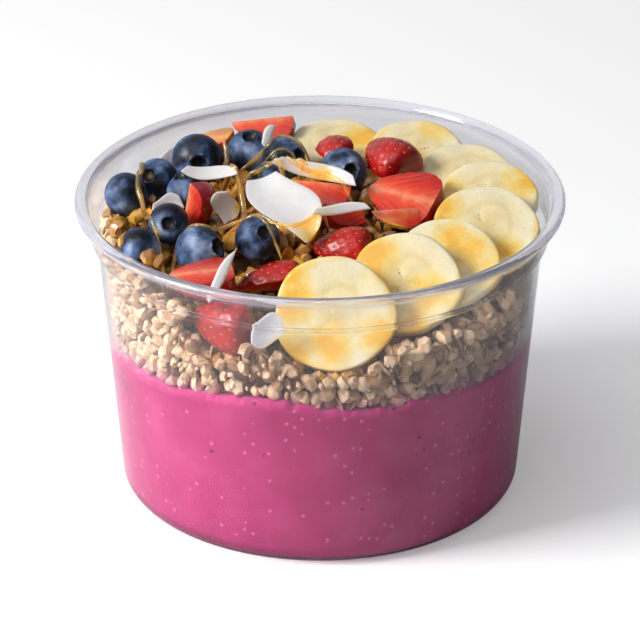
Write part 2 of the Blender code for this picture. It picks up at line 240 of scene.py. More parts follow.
def add_piece(name, bm, materials, slot, *nodes, middle=(0, 0, 0)):
    """Scales a bmesh from millimetres round the origin to its place, and stands it in for the CAD nodes."""
    bmesh.ops.scale(bm, verts=bm.verts, vec=(MM, MM, MM))
    bmesh.ops.translate(bm, verts=bm.verts, vec=middle)
    mesh = bpy.data.meshes.new(name)
    bm.to_mesh(mesh)
    bm.free()
    for material in materials:
        mesh.materials.append(material)
    mesh.shade_smooth()
    piece = bpy.data.objects.new(name, mesh)
    bpy.context.scene.collection.objects.link(piece)
    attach(piece, "root")
    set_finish(piece, slot)
    if nodes:
        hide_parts(*nodes)
    return piece


def clear_to_lamps(tree, surface, tint):
    """Ends a clear material. Lamps shine straight through it with a tint, so what lies behind is lit."""
    lamp_light = add_node(tree, "BsdfTransparent", {"Color": linear(tint)})
    lamp_ray = add_node(tree, "LightPath").outputs["Is Shadow Ray"]
    lit = add_node(tree, "MixShader", {0: lamp_ray, 1: surface, 2: lamp_light})
    add_node(tree, "OutputMaterial", {"Surface": lit})


# Clear PET is a dense plastic, so it bends light more than water and its thick bead and step draw bright
# and dark lines. The forming leaves a faint milky haze, most of it in the rim.
clear_pet, tree = new_material("clear_pet")
pet = add_node(
    tree, "BsdfPrincipled",
    {"Base Color": linear("#f8f8fb"), "Roughness": 0.03, "IOR": 1.42, "Transmission Weight": 1.0},
)
height = add_node(tree, "SeparateXYZ", {0: add_node(tree, "TexCoord").outputs["Object"]}).outputs[2]
rim_starts, rim_whole = (CUP_HEIGHT - 4.5) * MM, (CUP_HEIGHT - 1.5) * MM
milky = add_node(tree, "MapRange", {0: height, 1: rim_starts, 2: rim_whole, 3: 0.012, 4: 0.22})
haze = add_node(tree, "BsdfDiffuse", {"Color": linear("#dcdbe4")})
wall = add_node(tree, "MixShader", {0: milky, 1: pet, 2: haze})
clear_to_lamps(tree, wall, "#f3f3f8")

corner = BASE_RADIUS - FOOT_RADIUS
cup_floor = FOOT_RECESS + WALL
lip_bottom = CUP_HEIGHT - LIP_DROP
shoulder = LEDGE_RADIUS + LEDGE_STEP
foot_inside = FOOT_RADIUS - FOOT_WIDTH
step_below, step_above = (LEDGE_HEIGHT + rise for rise in STEP_OUTSIDE)
outside = [(0.0, FOOT_RECESS), (foot_inside - FOOT_RECESS, FOOT_RECESS), (foot_inside, 0.0)]
outside += arc((FOOT_RADIUS, corner), corner, -90, 0, 8)
outside += [(LEDGE_RADIUS, step_below), (shoulder, step_above), (NECK_RADIUS, lip_bottom)]
lip = arc((RIM_RADIUS - LIP_DROP / 2, lip_bottom + LIP_DROP / 2), LIP_DROP / 2, -80, 90, 10)
inside = [(NECK_RADIUS - 0.1, CUP_HEIGHT - 0.25), (NECK_RADIUS - WALL, CUP_HEIGHT - WALL * 1.6)]
step_below, step_above = (LEDGE_HEIGHT + rise for rise in STEP_INSIDE)
inside += [(shoulder - WALL, step_above), (LEDGE_RADIUS - WALL, step_below)]
inside += arc((FOOT_RADIUS, cup_floor + corner - WALL), corner - WALL, 0, -90, 8)
inside += [(0.0, cup_floor)]
bm = turned(outside + lip + inside, ROUND_STEPS)
round_edges(bm, sharper_than=14, width=0.45, segments=3)
add_piece("clear_cup", bm, [clear_pet], "clear_plastic", "cup")


# ---------------------------------------------------------------- smoothie
# Blended frozen pitaya, milk and ice, poured to a little over half. It wets the wall, so no gap shows, and
# its top edge is wavy where the granola was pressed in. Specks of ice and fruit seeds stay whole in the
# blender.

SMOOTHIE_LEVEL = 43.0
WETS_WALL = 0.2
# Ice, then seeds: how far apart in mm, a speck's core and edge and the share of places left empty, against
# that distance, then how strongly it shows and its colour.
SPECKS = ((1.923, 0.16, 0.30, 0.80, 0.45, "#f0a3c8"), (4.76, 0.08, 0.13, 0.62, 0.70, "#4a1636"))


def inner_radius(height):
    """Inside radius of the cup's tapered wall, between the base corner and the ledge."""
    share = (height - FOOT_RECESS) / (LEDGE_HEIGHT - FOOT_RECESS)
    return BASE_RADIUS - WALL + (LEDGE_RADIUS - BASE_RADIUS) * share


def smooth_step(value, low, high):
    """0 at low, 1 at high, and smooth between."""
    share = min(1.0, max(0.0, (value - low) / (high - low)))
    return share * share * (3 - 2 * share)


def smoothie_top(x, y):
    """Height of the smoothie under the granola: level in the middle, wavy where it meets the wall."""
    angle = math.atan2(y, x)
    reach = smooth_step(math.hypot(x, y), 20, 50)
    wave = 1.1 * math.sin(3 * angle + 0.6) + 0.7 * math.sin(7 * angle + 2.0)
    left_dip = 3.0 * max(0.0, -math.cos(angle)) ** 6
    return SMOOTHIE_LEVEL + (wave - left_dip) * reach


def scale_for(size):
    """A texture's scale on Object coordinates, for a pattern whose grains are this many mm across."""
    return 1 / (size * MM)


def surface_over(tree, relief, strength, depth, look):
    """Ends a material with a principled surface of this look over a relief, its depth in mm."""
    bump = add_node(tree, "Bump", {"Strength": strength, "Distance": depth * MM, "Height": relief})
    shader = add_node(tree, "BsdfPrincipled", {**look, "Normal": bump})
    add_node(tree, "OutputMaterial", {"Surface": shader})


# Thick and matt: a wet froth of fruit and ice, slightly swirled where the blades left it.
pitaya_smoothie, tree = new_material("blended_pitaya")
place = add_node(tree, "TexCoord").outputs["Object"]
swirl = add_node(
    tree, "TexNoise", {"Vector": place, "Scale": scale_for(18.2), "Detail": 4.0, "Roughness": 0.6}
)
body = add_node(
    tree, "ValToRGB", {"Fac": swirl}, [(0.30, "#b63873"), (0.52, "#c4447e"), (0.75, "#cf598f")]
)
colour = body
for channel, (apart, core, edge, empty, strength, tint) in enumerate(SPECKS):
    cells = add_node(tree, "TexVoronoi", {"Vector": place, "Scale": scale_for(apart)})
    dot = add_node(tree, "MapRange", {0: cells.outputs["Distance"], 1: edge, 2: core})
    pick = add_node(tree, "SeparateColor", {0: cells.outputs["Color"]}).outputs[channel]
    some = add_node(tree, "Math", {0: pick, 1: empty}, operation="GREATER_THAN")
    shown = add_node(tree, "Math", {0: dot, 1: some}, operation="MULTIPLY")
    share = add_node(tree, "Math", {0: shown, 1: strength}, operation="MULTIPLY")
    colour = add_node(tree, "Mix", {0: share, 6: colour, 7: linear(tint)}, data_type="RGBA")
froth = add_node(tree, "TexNoise", {"Vector": place, "Scale": scale_for(1.111), "Detail": 3.0})
surface_over(
    tree, froth, 0.25, 0.2,
    {"Base Color": colour, "Roughness": 0.55, "IOR": 1.36, "Specular IOR Level": 0.2},
)

# Rings from the bottom up the wall, then over the top to the middle. The loop then ripples the top.
at_wall = 50.5
outline = [(0.0, cup_floor - WETS_WALL)]
outline += arc((FOOT_RADIUS, cup_floor + corner - WALL), corner - WALL + WETS_WALL, -90, 0, 8)
outline += [(inner_radius(z) + WETS_WALL, z) for z in range(8, 43, 3)]
outline += [(radius, SMOOTHIE_LEVEL) for radius in (50.9, 48.5, 44, 36, 26, 14, 0)]
bm = turned(outline, steps=480)
for vert in bm.verts:
    lifted = smooth_step(vert.co.z, 22, SMOOTHIE_LEVEL)
    radius = vert.co.xy.length
    ripple = 0.9 * noise.noise(Vector((vert.co.x, vert.co.y, 0)) * 0.16)
    ripple += 0.5 * noise.noise(vert.co.xyz * 0.45)
    ragged = 1.3 * noise.noise(vert.co.xyz * 0.5) + 0.9 * noise.noise(vert.co.xyz * 1.1)
    ripple += ragged * smooth_step(radius, 47, at_wall) * smooth_step(vert.co.z, 38, SMOOTHIE_LEVEL)
    vert.co.z += lifted * (smoothie_top(vert.co.x, vert.co.y) - SMOOTHIE_LEVEL + ripple)
    if radius > at_wall:
        vert.co.xy *= (inner_radius(vert.co.z) + WETS_WALL) / radius
add_piece("pitaya_smoothie", bm, [pitaya_smoothie], "smoothie", "smoothie")


# ---------------------------------------------------------------- granola
# Oats and crisped rice baked with honey into loose clusters. A crumb fills the middle, darker than the other
# bits in part as painted shade for the gaps between the fruit; on it and against the wall lie puffs, flakes
# of rolled oat and crumbs, each kind one piece.

GRANOLA_CROWN = 67.5
# By direction round the cup, from +X to the left: fall of the mound, and height of the bits at the wall.
GRANOLA_FALL = (16, 14, 5, 3, 0, 15, 18, 18)
GRANOLA_EDGE = (58, 61, 64, 67, 69, 65, 58, 60)
# Distances between puffs and between crumbs at the wall, where each row starts this share of one above the
# last, and between the bits on the heap.
PUFF_PITCH = 3.1
CRUMB_PITCH = 2.6
ROW_RISE = 0.86
HEAP_PITCH = 3.4
# What of the wall's places stays empty or takes an oat flake, and how much more flakes the right side has.
FEW = 0.06
FLAKES_ON_RIGHT = 0.5
# How far the bits stay off the wall, and how near fruit has to be to take the place behind a bit.
OFF_WALL = 0.08
CLOSE_BEHIND = 7.0
# Clusters that stand out of the honey at the wall: x, y, z and size against a puff.
LOOSE_CLUSTERS = (
    (-48, -11, 70.5, 1.1), (-46, -16, 69.5, 0.9), (-40, -23, 69, 1.1), (-37.5, -26.5, 69.5, 0.9),
    (-43.5, -4, 70.6, 1.0), (-40.5, -1.5, 69.8, 0.9), (-40.5, 7, 69.5, 0.8), (-49, -5, 70, 0.8),
)


def round_the_cup(values, angle):
    """Blends values that are given at equal steps round the cup."""
    share = (angle % math.tau) / math.tau * len(values)
    before = int(share) % len(values)
    blend = smooth_step(share - int(share), 0, 1)
    return values[before] * (1 - blend) + values[(before + 1) % len(values)] * blend


def granola_top(x, y):
    """Height of the granola's mound under the fruit."""
    fall = round_the_cup(GRANOLA_FALL, math.atan2(y, x))
    return GRANOLA_CROWN - fall * smooth_step(math.hypot(x, y), 14, 50)


def baked_oats(name, pale, mid, dark):
    """Toasted grain: dry, matt and flaky, each bit its own shade, and pink where it stands in smoothie."""
    made, tree = new_material(name)
    place = add_node(tree, "TexCoord").outputs["Object"]
    each = add_node(tree, "NewGeometry").outputs["Random Per Island"]
    shade = add_node(tree, "ValToRGB", {"Fac": each}, [(0.0, dark), (0.25, mid), (0.8, pale)])
    mottle = add_node(
        tree, "TexNoise", {"Vector": place, "Scale": scale_for(1.429), "Detail": 3.0, "Roughness": 0.6}
    )
    toast = add_node(tree, "MapRange", {0: mottle, 1: 0.42, 2: 0.72, 4: 0.55})
    toasted = add_node(tree, "Mix", {0: toast, 6: shade, 7: linear(dark)}, data_type="RGBA")
    height = add_node(tree, "SeparateXYZ", {0: place}).outputs[2]
    wicked = add_node(tree, "Math", {0: mottle, 1: 8 * MM, 2: height}, operation="MULTIPLY_ADD")
    soaked, dry = (SMOOTHIE_LEVEL + 3) * MM, (SMOOTHIE_LEVEL + 7.5) * MM
    juiced = add_node(tree, "MapRange", {0: wicked, 1: soaked, 2: dry, 3: 0.7, 4: 0.0})
    pink = linear("#c9698f")
    stained = add_node(tree, "Mix", {0: juiced, 6: toasted, 7: pink}, data_type="RGBA")
    flaky = add_node(
        tree, "TexNoise", {"Vector": place, "Scale": scale_for(0.77), "Detail": 4.0, "Roughness": 0.7}
    )
    surface_over(tree, flaky, 0.7, 0.4, {"Base Color": stained, "Roughness": 0.75, "IOR": 1.45})
    return made


baked_puffs = baked_oats("baked_rice_puffs", "#efd0a8", "#dbb589", "#a27850")
baked_flakes = baked_oats("toasted_oat_flakes", "#d3ae86", "#a97f58", "#5c3e28")
# The crumb's dark browns are partly painted shade, for the gaps between the fruit where it shows.
crumb_and_painted_shade = baked_oats("crumb_and_painted_shade", "#6e4a2a", "#59391f", "#3d2817")

# Rings of the underside at height 0 and of the top at height 1, which the loop then sets in their place.
rings = [(0, 0), (22, 0), (38, 0), (50, 0), (50, 1), (46, 1), (40, 1), (30, 1), (15, 1), (0, 1)]
bm = turned(rings, steps=72)
for vert in bm.verts:
    top = vert.co.z > 0.5
    x, y = vert.co.xy
    radius = vert.co.xy.length
    lumpy = 0.9 * noise.noise(Vector((x, y, 30)) * 0.35)
    vert.co.z = granola_top(x, y) - 1.4 + lumpy if top else smoothie_top(x, y) - 1.5
    if radius > 49:
        vert.co.z -= 2.5 if top else 0
        vert.co.xy *= (inner_radius(vert.co.z) - 2.6) / radius
add_piece("granola_crumb", bm, [crumb_and_painted_shade], "granola", "granola")


def tree_of(objects):
    """A search tree over the faces of some objects, in mm."""
    points, faces = [], []
    for obj in objects:
        start = len(points)
        points += [vert.co * METRE for vert in obj.data.vertices]
        faces += [[start + i for i in face.vertices] for face in obj.data.polygons]
    return BVHTree.FromPolygons(points, faces)


# The fruit as it lies, so that no bit is put inside it.
not_fruit = ("cup", "smoothie", "granola")
fruit_tree = tree_of(obj for name, obj in sorted(frame["nodes"].items()) if name not in not_fruit)


def granola_bit(size, uneven, seed_point):
    """One small bit of granola as a mesh of a few dozen faces, its size along X, Y and Z in mm."""
    bm = bmesh.new()
    bmesh.ops.create_icosphere(bm, subdivisions=2, radius=0.5)
    for vert in bm.verts:
        lumps = uneven * noise.noise(vert.co * 3.4 + seed_point)
        vert.co *= 1 + lumps + uneven * noise.noise(vert.co * 7 - seed_point)
    bmesh.ops.scale(bm, verts=bm.verts, vec=size)
    made = bpy.data.meshes.new("bit")
    bm.to_mesh(made)
    bm.free()
    return made


def oat_flake(length, width, curl, seed_point):
    """A rolled oat: a thin oval, curled, with the grain's crease down its middle."""
    made = granola_bit((length, width, 0.9), 0.12, seed_point)
    for vert in made.vertices:
        x, y, z = vert.co
        crease = -0.45 * math.exp(-(y / 0.5) ** 2)
        vert.co.z = z + curl * (x * x / length + 1.6 * y * y / width) + crease
    return made


def put_bit(bm, mesh, place, turns, size):
    """Adds a turned copy of a bit, pulled in where it would reach into the wall."""
    copy = mesh.copy()
    copy.transform(Matrix.LocRotScale(place, Euler(turns), Vector((size, size, size))))
    over = max(vert.co.xy.length - inner_radius(vert.co.z) for vert in copy.vertices) + OFF_WALL
    if over > 0:
        inwards = -Vector((place.x, place.y, 0)).normalized() * over
        copy.transform(Matrix.Translation(inwards))
    bm.from_mesh(copy)
    bpy.data.meshes.remove(copy)


def clear_of_fruit(place, room):
    """True where the nearest fruit is further off than room, and the place isn't inside it."""
    point, normal, _, distance = fruit_tree.find_nearest(place)
    return distance > room and (place - point).dot(normal) > 0


def before_fruit(place):
    """True where fruit lies close behind a place at the wall, as seen from outside."""
    inwards = -Vector((place.x, place.y, 0)).normalized()
    return fruit_tree.ray_cast(place, inwards, CLOSE_BEHIND)[0] is not None


rng = random.Random(4)
puff_kinds, flake_kinds = [], []
for i in range(14):
    size = (rng.uniform(3.4, 5.0), rng.uniform(2.8, 4.0), rng.uniform(2.6, 3.6))
    puff_kinds.append(granola_bit(size, 0.36, Vector((i, 5, 0))))
for i in range(8):
    length, width, curl = rng.uniform(5.5, 7.0), rng.uniform(3.6, 4.6), rng.uniform(0.5, 1.1)
    flake_kinds.append(oat_flake(length, width, curl, Vector((i, 9, 3))))
crumb_kinds = [granola_bit((1.6, 1.3, 1.0), 0.35, Vector((i, 2, 7))) for i in range(4)]
puffs, flakes, crumbs, honeyed = bmesh.new(), bmesh.new(), bmesh.new(), bmesh.new()


def any_turns():
    """Three angles at random, for a bit that fell as it liked."""
    return [rng.uniform(0, math.tau) for _ in range(3)]


def wall_spots(pitch, inset):
    """Staggered places against the wall, from the smoothie up to where the granola ends."""
    for row in range(40):
        height = SMOOTHIE_LEVEL - 7 + row * pitch * ROW_RISE
        count = int(math.tau * inner_radius(height) / pitch)
        for i in range(count):
            angle = math.tau * (i + 0.5 * (row % 2) + rng.uniform(-0.3, 0.3)) / count
            edge = inner_radius(height) - inset
            spot = Vector((edge * math.cos(angle), edge * math.sin(angle), height + rng.uniform(-0.8, 0.8)))
            highest = round_the_cup(GRANOLA_EDGE, angle)
            if smoothie_top(*spot.xy) + 0.4 < spot.z < highest:
                yield spot, angle


# Two layers of puffs and flakes, then crumbs in the gaps next to the wall.
for inset in (1.6, 4.4):
    for spot, angle in wall_spots(PUFF_PITCH, inset):
        right_side = 0.5 + 0.5 * math.cos(angle + 0.35)
        if rng.random() < FEW or not clear_of_fruit(spot, room=1.3) or before_fruit(spot):
            continue
        turns = any_turns()
        if rng.random() < FEW + FLAKES_ON_RIGHT * right_side:
            put_bit(flakes, rng.choice(flake_kinds), spot, turns, rng.uniform(0.7, 1.0))
        else:
            put_bit(puffs, rng.choice(puff_kinds), spot, turns, rng.uniform(0.72, 1.12))

for spot, _ in wall_spots(CRUMB_PITCH, 0.8):
    if rng.random() < 0.35 and clear_of_fruit(spot, room=0.8) and not before_fruit(spot):
        turns = any_turns()
        put_bit(crumbs, rng.choice(crumb_kinds), spot, turns, rng.uniform(0.6, 1.2))

# Rings of both from the middle out, on top of the mound.
for ring in range(16):
    radius = 1.5 + ring * PUFF_PITCH
    count = max(1, int(math.tau * radius / HEAP_PITCH))
    for i in range(count):
        angle = math.tau * (i + rng.uniform(-0.3, 0.3)) / count
        x, y = radius * math.cos(angle), radius * math.sin(angle)
        spot = Vector((x, y, granola_top(x, y) + rng.uniform(-1.0, 1.1)))
        if clear_of_fruit(spot, room=0.9):
            turns = any_turns()
            kind = flake_kinds if rng.random() < 0.3 else puff_kinds
            put_bit(honeyed, rng.choice(kind), spot, turns, rng.uniform(0.55, 1.2))

piece = add_piece("granola_puffs", puffs, [baked_puffs], "granola")
piece.data.set_sharp_from_angle(angle=math.radians(36))
add_piece("granola_oat_flakes", flakes, [baked_flakes], "granola")
add_piece("granola_crumbs", crumbs, [baked_puffs], "granola")

# On top the honey has run over the granola: golden brown, wet and glossy.
honeyed_oats, tree = new_material("honeyed_oats")
each = add_node(tree, "NewGeometry").outputs["Random Per Island"]
place = add_node(tree, "TexCoord").outputs["Object"]
shade = add_node(
    tree, "ValToRGB", {"Fac": each}, [(0.0, "#7d4c1c"), (0.35, "#b27a2c"), (0.80, "#dba441")]
)
flaky = add_node(tree, "TexNoise", {"Vector": place, "Scale": scale_for(1.25), "Detail": 3.0})
surface_over(
    tree, flaky, 0.4, 0.4,
    {"Base Color": shade, "Roughness": 0.35, "IOR": 1.47, "Coat Weight": 0.7, "Coat Roughness": 0.08,
     "Subsurface Weight": 0.15, "Subsurface Radius": (0.004, 0.002, 0.0005), "Subsurface Scale": 0.4},
)
for *place, size in LOOSE_CLUSTERS:
    put_bit(honeyed, rng.choice(puff_kinds), Vector(place), any_turns(), size)
piece = add_piece("granola_honeyed", honeyed, [honeyed_oats], "granola")
piece.data.set_sharp_from_angle(angle=math.radians(32))


# ---------------------------------------------------------------- bananas
# A ripe banana cut into coins about 4 mm thick and fanned round the back, right and front. The cut face is
# moist and pale; three faint seed chambers meet in its middle, each with a few tiny seeds. Honey has soaked
# in at the edges.

BANANA_RADIUS = 14.2
BANANA_THICKNESS = 4.0
# Tilt from flat, the compass direction that the upper face looks in, and width against the usual slice.
BANANA_SLICES = (
    (8, -90, 0.78), (17, -95, 0.80), (18, -100, 0.82), (23, -100, 0.81),
    (27, -98, 0.89), (34, -98, 0.85), (44, -100, 0.92), (56, -98, 1.00),
)


def lay_piece(name, bm, materials, slot, node, *degrees):
    """Turns a piece about X, then Y, then Z, and lays it where its CAD node lies.

    Each point first stores its place on the unturned piece, for the patterns that follow the fruit."""
    own = bm.verts.layers.float_vector.new("own")
    for vert in bm.verts:
        vert[own] = vert.co
    rotation = Euler([math.radians(angle) for angle in degrees]).to_matrix()
    bmesh.ops.rotate(bm, verts=bm.verts, cent=(0, 0, 0), matrix=rotation)
    corners = [[min(v.co[i] for v in bm.verts), max(v.co[i] for v in bm.verts)] for i in range(3)]
    bmesh.ops.translate(bm, verts=bm.verts, vec=[-(low + high) / 2 for low, high in corners])
    low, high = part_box(node)
    return add_piece(name, bm, materials, slot, node, middle=(low + high) / 2)


def own_place(tree):
    """A point's place on the unturned piece in mm: as a vector, its three axes, and how far off Z it is."""
    own = add_node(tree, "Attribute", attribute_type="GEOMETRY", attribute_name="own").outputs["Vector"]
    axes = add_node(tree, "SeparateXYZ", {0: own}).outputs
    flat = add_node(tree, "VectorMath", {0: own, 1: (1, 1, 0)}, operation="MULTIPLY")
    off_axis = add_node(tree, "VectorMath", {0: flat}, operation="LENGTH")
    return own, axes, off_axis


def wandering(tree, place, scale, reach, detail=3.0, roughness=0.5):
    """Noise that swings by half the reach either way."""
    links = {"Vector": place, "Scale": scale, "Detail": detail, "Roughness": roughness}
    swing = {0: add_node(tree, "TexNoise", links), 1: reach, 2: -reach / 2}
    return add_node(tree, "Math", swing, operation="MULTIPLY_ADD")


def honeyed_over(tree, colour, roughness):
    """Stains a colour amber and wets it where honey lies. Returns the colour's and roughness's sockets."""
    soaked = add_node(tree, "Attribute", attribute_type="GEOMETRY", attribute_name="soaked").outputs["Fac"]
    place = add_node(tree, "TexCoord").outputs["Object"]
    ragged = wandering(tree, place, scale_for(4.35), 1.3, detail=4.0, roughness=0.65)
    # On banana coins the soaked share also holds painted shade where one coin lies on another.
    share = add_node(tree, "Math", {0: soaked, 1: ragged}, operation="ADD")
    amber = add_node(
        tree, "ValToRGB", {"Fac": share}, [(0.10, "#ffe88c"), (0.50, "#ffd24a"), (0.95, "#f8b930")]
    )
    held = add_node(tree, "MapRange", {0: soaked, 2: 0.45}, interpolation_type="SMOOTHSTEP")
    cover = add_node(tree, "MapRange", {0: share, 2: 0.85, 4: 0.90})
    stained = add_node(tree, "Math", {0: cover, 1: held}, operation="MULTIPLY")
    mixed = add_node(tree, "Mix", {0: stained, 6: colour, 7: amber}, data_type="RGBA")
    wet = add_node(tree, "MapRange", {0: stained, 2: 0.5, 3: roughness, 4: 0.14})
    return mixed, wet


# Banana flesh: cream, soft and moist. A paler outer ring, a yellower heart with three lobes, and fine rays
# between, about 14 to a radian.
banana_flesh, tree = new_material("banana_flesh")
_, axes, radius = own_place(tree)
place = add_node(tree, "TexCoord").outputs["Object"]
angle = add_node(tree, "Math", {0: axes[1], 1: axes[0]}, operation="ARCTAN2")
three = add_node(tree, "Math", {0: angle, 1: 3.0}, operation="MULTIPLY")
lobes = add_node(tree, "Math", {0: three}, operation="COSINE")
uneven = wandering(tree, place, scale_for(5.0), 4.0)
lobed = add_node(tree, "Math", {0: lobes, 1: 0.7, 2: uneven}, operation="MULTIPLY_ADD")
from_heart = add_node(tree, "Math", {0: radius, 1: lobed}, operation="ADD")
out_share = add_node(tree, "MapRange", {0: from_heart, 2: BANANA_RADIUS})
zones = add_node(
    tree, "ValToRGB", {"Fac": out_share},
    [(0.0, "#e6cb90"), (0.16, "#eed9a2"), (0.34, "#f4e4b4"), (0.44, "#eed9a2"), (0.54, "#f5e7bc"),
     (0.84, "#f8ecca"), (0.97, "#f0d38c")],
)
drawn_out = add_node(tree, "Math", {0: radius, 1: 0.05}, operation="MULTIPLY")
ray_place = add_node(tree, "CombineXYZ", {0: angle, 1: drawn_out})
rays = add_node(tree, "TexNoise", {"Vector": ray_place, "Scale": 14.0, "Detail": 2.0})
ray_share = add_node(tree, "MapRange", {0: rays, 1: 0.45, 2: 0.75, 4: 0.25})
rayed = add_node(tree, "Mix", {0: ray_share, 6: zones, 7: linear("#e0c384")}, data_type="RGBA")
colour, wet = honeyed_over(tree, rayed, 0.40)
pores = add_node(tree, "TexNoise", {"Vector": place, "Scale": scale_for(0.77), "Detail": 3.0})
surface_over(
    tree, pores, 0.22, 0.3,
    {"Base Color": colour, "Roughness": wet, "IOR": 1.38, "Subsurface Weight": 0.2,
     "Subsurface Radius": (0.006, 0.004, 0.002), "Subsurface Scale": 0.5},
)

# Soft brown seeds that never ripened.
banana_seed, tree = new_material("banana_seeds")
shader = add_node(tree, "BsdfPrincipled", {"Base Color": linear("#a98a56"), "Roughness": 0.5})
add_node(tree, "OutputMaterial", {"Surface": shader})


def add_seed(bm, place, radius, material):
    """Sets a seed in a piece's mesh at a matrix, with a material of its own."""
    made = bmesh.ops.create_icosphere(bm, subdivisions=1, radius=radius, matrix=place)
    for face in {face for vert in made["verts"] for face in vert.link_faces}:
        face.material_index = material


def banana_coin(width, number):
    """A round cut with softened edges, the faint corners of a peeled banana, and sunk seed chambers."""
    radius = BANANA_RADIUS * width
    half = BANANA_THICKNESS / 2
    soft = 0.9
    face_rings = [radius * share for share in (0.12, 0.22, 0.32, 0.42, 0.52, 0.62, 0.72, 0.82, 0.89)]
    edge = arc((radius - soft, half - soft), soft, 90, 0, 4)
    upper = [(0, half)] + [(r, half) for r in face_rings] + edge
    outline = [(r, -z) for r, z in upper] + upper[::-1]
    bm = turned(outline, steps=72)
    seed_point = Vector((number * 3.1, 0, 0))
    for vert in bm.verts:
        angle = math.atan2(vert.co.y, vert.co.x)
        share = vert.co.xy.length / radius
        chamber = math.exp(-((share - 0.22) / 0.12) ** 2) * max(0.0, math.cos(3 * angle)) ** 2
        sunk = 0.22 * chamber + 0.07 * math.exp(-((share - 0.46) / 0.05) ** 2)
        side = 1 if vert.co.z > 0 else -1
        if abs(vert.co.z) > half - 0.1:
            vert.co.z += side * (0.30 * noise.noise(vert.co * 0.24 + seed_point) - 0.12 - sunk)
        vert.co.xy *= 1 + 0.018 * math.cos(3 * angle) + 0.014 * math.cos(5 * angle)
        vert.co.xy *= 1 + 0.016 * noise.noise(vert.co * 0.2 + seed_point)
        vert.co.y *= 0.94
    return bm


seed_height = BANANA_THICKNESS / 2 - 0.45
for number, (tilt, looks, width) in enumerate(BANANA_SLICES, 1):
    bm = banana_coin(width, number)
    for row in range(3):
        for i in range(3):
            out = BANANA_RADIUS * width * (0.11 + 0.08 * i)
            spread = math.radians(120 * row + rng.uniform(-9, 9))
            spot = (out * math.cos(spread), out * math.sin(spread), seed_height)
            add_seed(bm, Matrix.Translation(spot), radius=0.24, material=1)
    name, node = f"banana_coin_{number}", f"banana_slice_{number}"
    lay_piece(name, bm, [banana_flesh, banana_seed], "banana", node, tilt, 0, looks + 90)


# ---------------------------------------------------------------- strawberries
# Hulled berries cut lengthwise into halves, quarters and chunks. The skin is red and glossy, with a golden
# seed in each of its pits; the cut flesh is paler towards the core, with light threads that run out to the
# seeds.

STRAWBERRY_LENGTH = 27.0
STRAWBERRY_RADIUS = 11.0
# How each is cut, how far it is laid down, rolled and turned in degrees, and its size against a whole one.
STRAWBERRIES = {
    "strawberry_front_wall": ("half", 0, 90, -29, 0.64),
    "strawberry_front_cut": ("half", 86, 0, 98, 0.60),
    "strawberry_front_long": ("quarter", 90, 180, 98, 0.64),
    "strawberry_back_left": ("half", 75, 0, 75, 0.50),
    "strawberry_back_tall": ("quarter", 80, 15, 80, 0.62),
    "strawberry_back": ("chunk", 90, 160, 30, 0.55),
    "strawberry_left": ("chunk", 10, 0, 75, 0.62),
    "strawberry_middle_back": ("quarter", 90, 20, 80, 0.66),
    "strawberry_middle": ("chunk", 75, -15, -60, 0.62),
    "strawberry_middle_right": ("quarter", 90, 10, 100, 0.46),
    "strawberry_middle_front": ("half", 90, 180, 80, 0.56),
    "strawberry_right_cut": ("half", 90, -30, 60, 0.70),
    "strawberry_right_skin": ("half", 80, 180, 35, 0.60),
}
# Height and radius, from the tip to the flat shoulder that its leaves were pulled off.
BERRY_OUTLINE = (
    (-0.50, 0.0), (-0.44, 0.32), (-0.26, 0.66), (-0.02, 0.92), (0.20, 1.0), (0.36, 0.90), (0.43, 0.55),
    (0.43, 0.0),
)
# Seeds wind round the berry from tip to shoulder, each this angle on from the last, in radians. Half a
# seed's width, length and height, and how deep its middle lies, are in mm.
SEED_COUNT = 95
SEED_TURN = 2.39996
SEED_HALVES = (0.24, 0.42, 0.20)
SEED_DEPTH = 0.18

# Ripe skin: thin, wet and glossy over red flesh, darker in the pits between the seeds.
strawberry_skin, tree = new_material("strawberry_skin")
own = add_node(tree, "Attribute", attribute_type="GEOMETRY", attribute_name="own").outputs["Vector"]
blush = add_node(tree, "TexNoise", {"Vector": own, "Scale": 1 / 6.25, "Detail": 2.0})
skin = add_node(
    tree, "ValToRGB", {"Fac": blush}, [(0.30, "#86090c"), (0.52, "#b10e10"), (0.75, "#d32018")]
)
colour, wet = honeyed_over(tree, skin, 0.34)
fine = add_node(tree, "TexNoise", {"Vector": own, "Scale": 1 / 0.455, "Detail": 3.0})
surface_over(
    tree, fine, 0.15, 0.3,
    {"Base Color": colour, "Roughness": wet, "IOR": 1.40, "Coat Weight": 0.3, "Coat Roughness": 0.24,
     "Subsurface Weight": 0.12, "Subsurface Radius": (0.005, 0.001, 0.0008), "Subsurface Scale": 0.4},
)

# Cut flesh: wet and a little see-through, bright red under the skin, orange red inside, with pale threads.
strawberry_flesh, tree = new_material("strawberry_flesh")
own, axes, radius = own_place(tree)
depth = add_node(tree, "Math", {0: radius, 1: wandering(tree, own, 1 / 2.86, 4.0)}, operation="ADD")
out_share = add_node(tree, "MapRange", {0: depth, 2: STRAWBERRY_RADIUS * 0.62})
flesh = add_node(
    tree, "ValToRGB", {"Fac": out_share},
    [(0.02, "#f08a64"), (0.22, "#e65230"), (0.50, "#d62e14"), (0.85, "#be160d")],
)
slant = add_node(tree, "Math", {0: axes[2], 1: 0.55}, operation="MULTIPLY")
thread_row = add_node(tree, "Math", {0: radius, 1: slant}, operation="SUBTRACT")
drawn_out = add_node(tree, "Math", {0: radius, 1: 0.12}, operation="MULTIPLY")
thread_place = add_node(tree, "CombineXYZ", {0: thread_row, 1: drawn_out})
threads = add_node(
    tree, "TexNoise", {"Vector": thread_place, "Scale": 1 / 0.91, "Detail": 3.0, "Roughness": 0.55}
)
share = add_node(tree, "MapRange", {0: threads, 1: 0.52, 2: 0.70, 4: 0.42})
threaded = add_node(tree, "Mix", {0: share, 6: flesh, 7: linear("#ee7a58")}, data_type="RGBA")
colour, wet = honeyed_over(tree, threaded, 0.26)
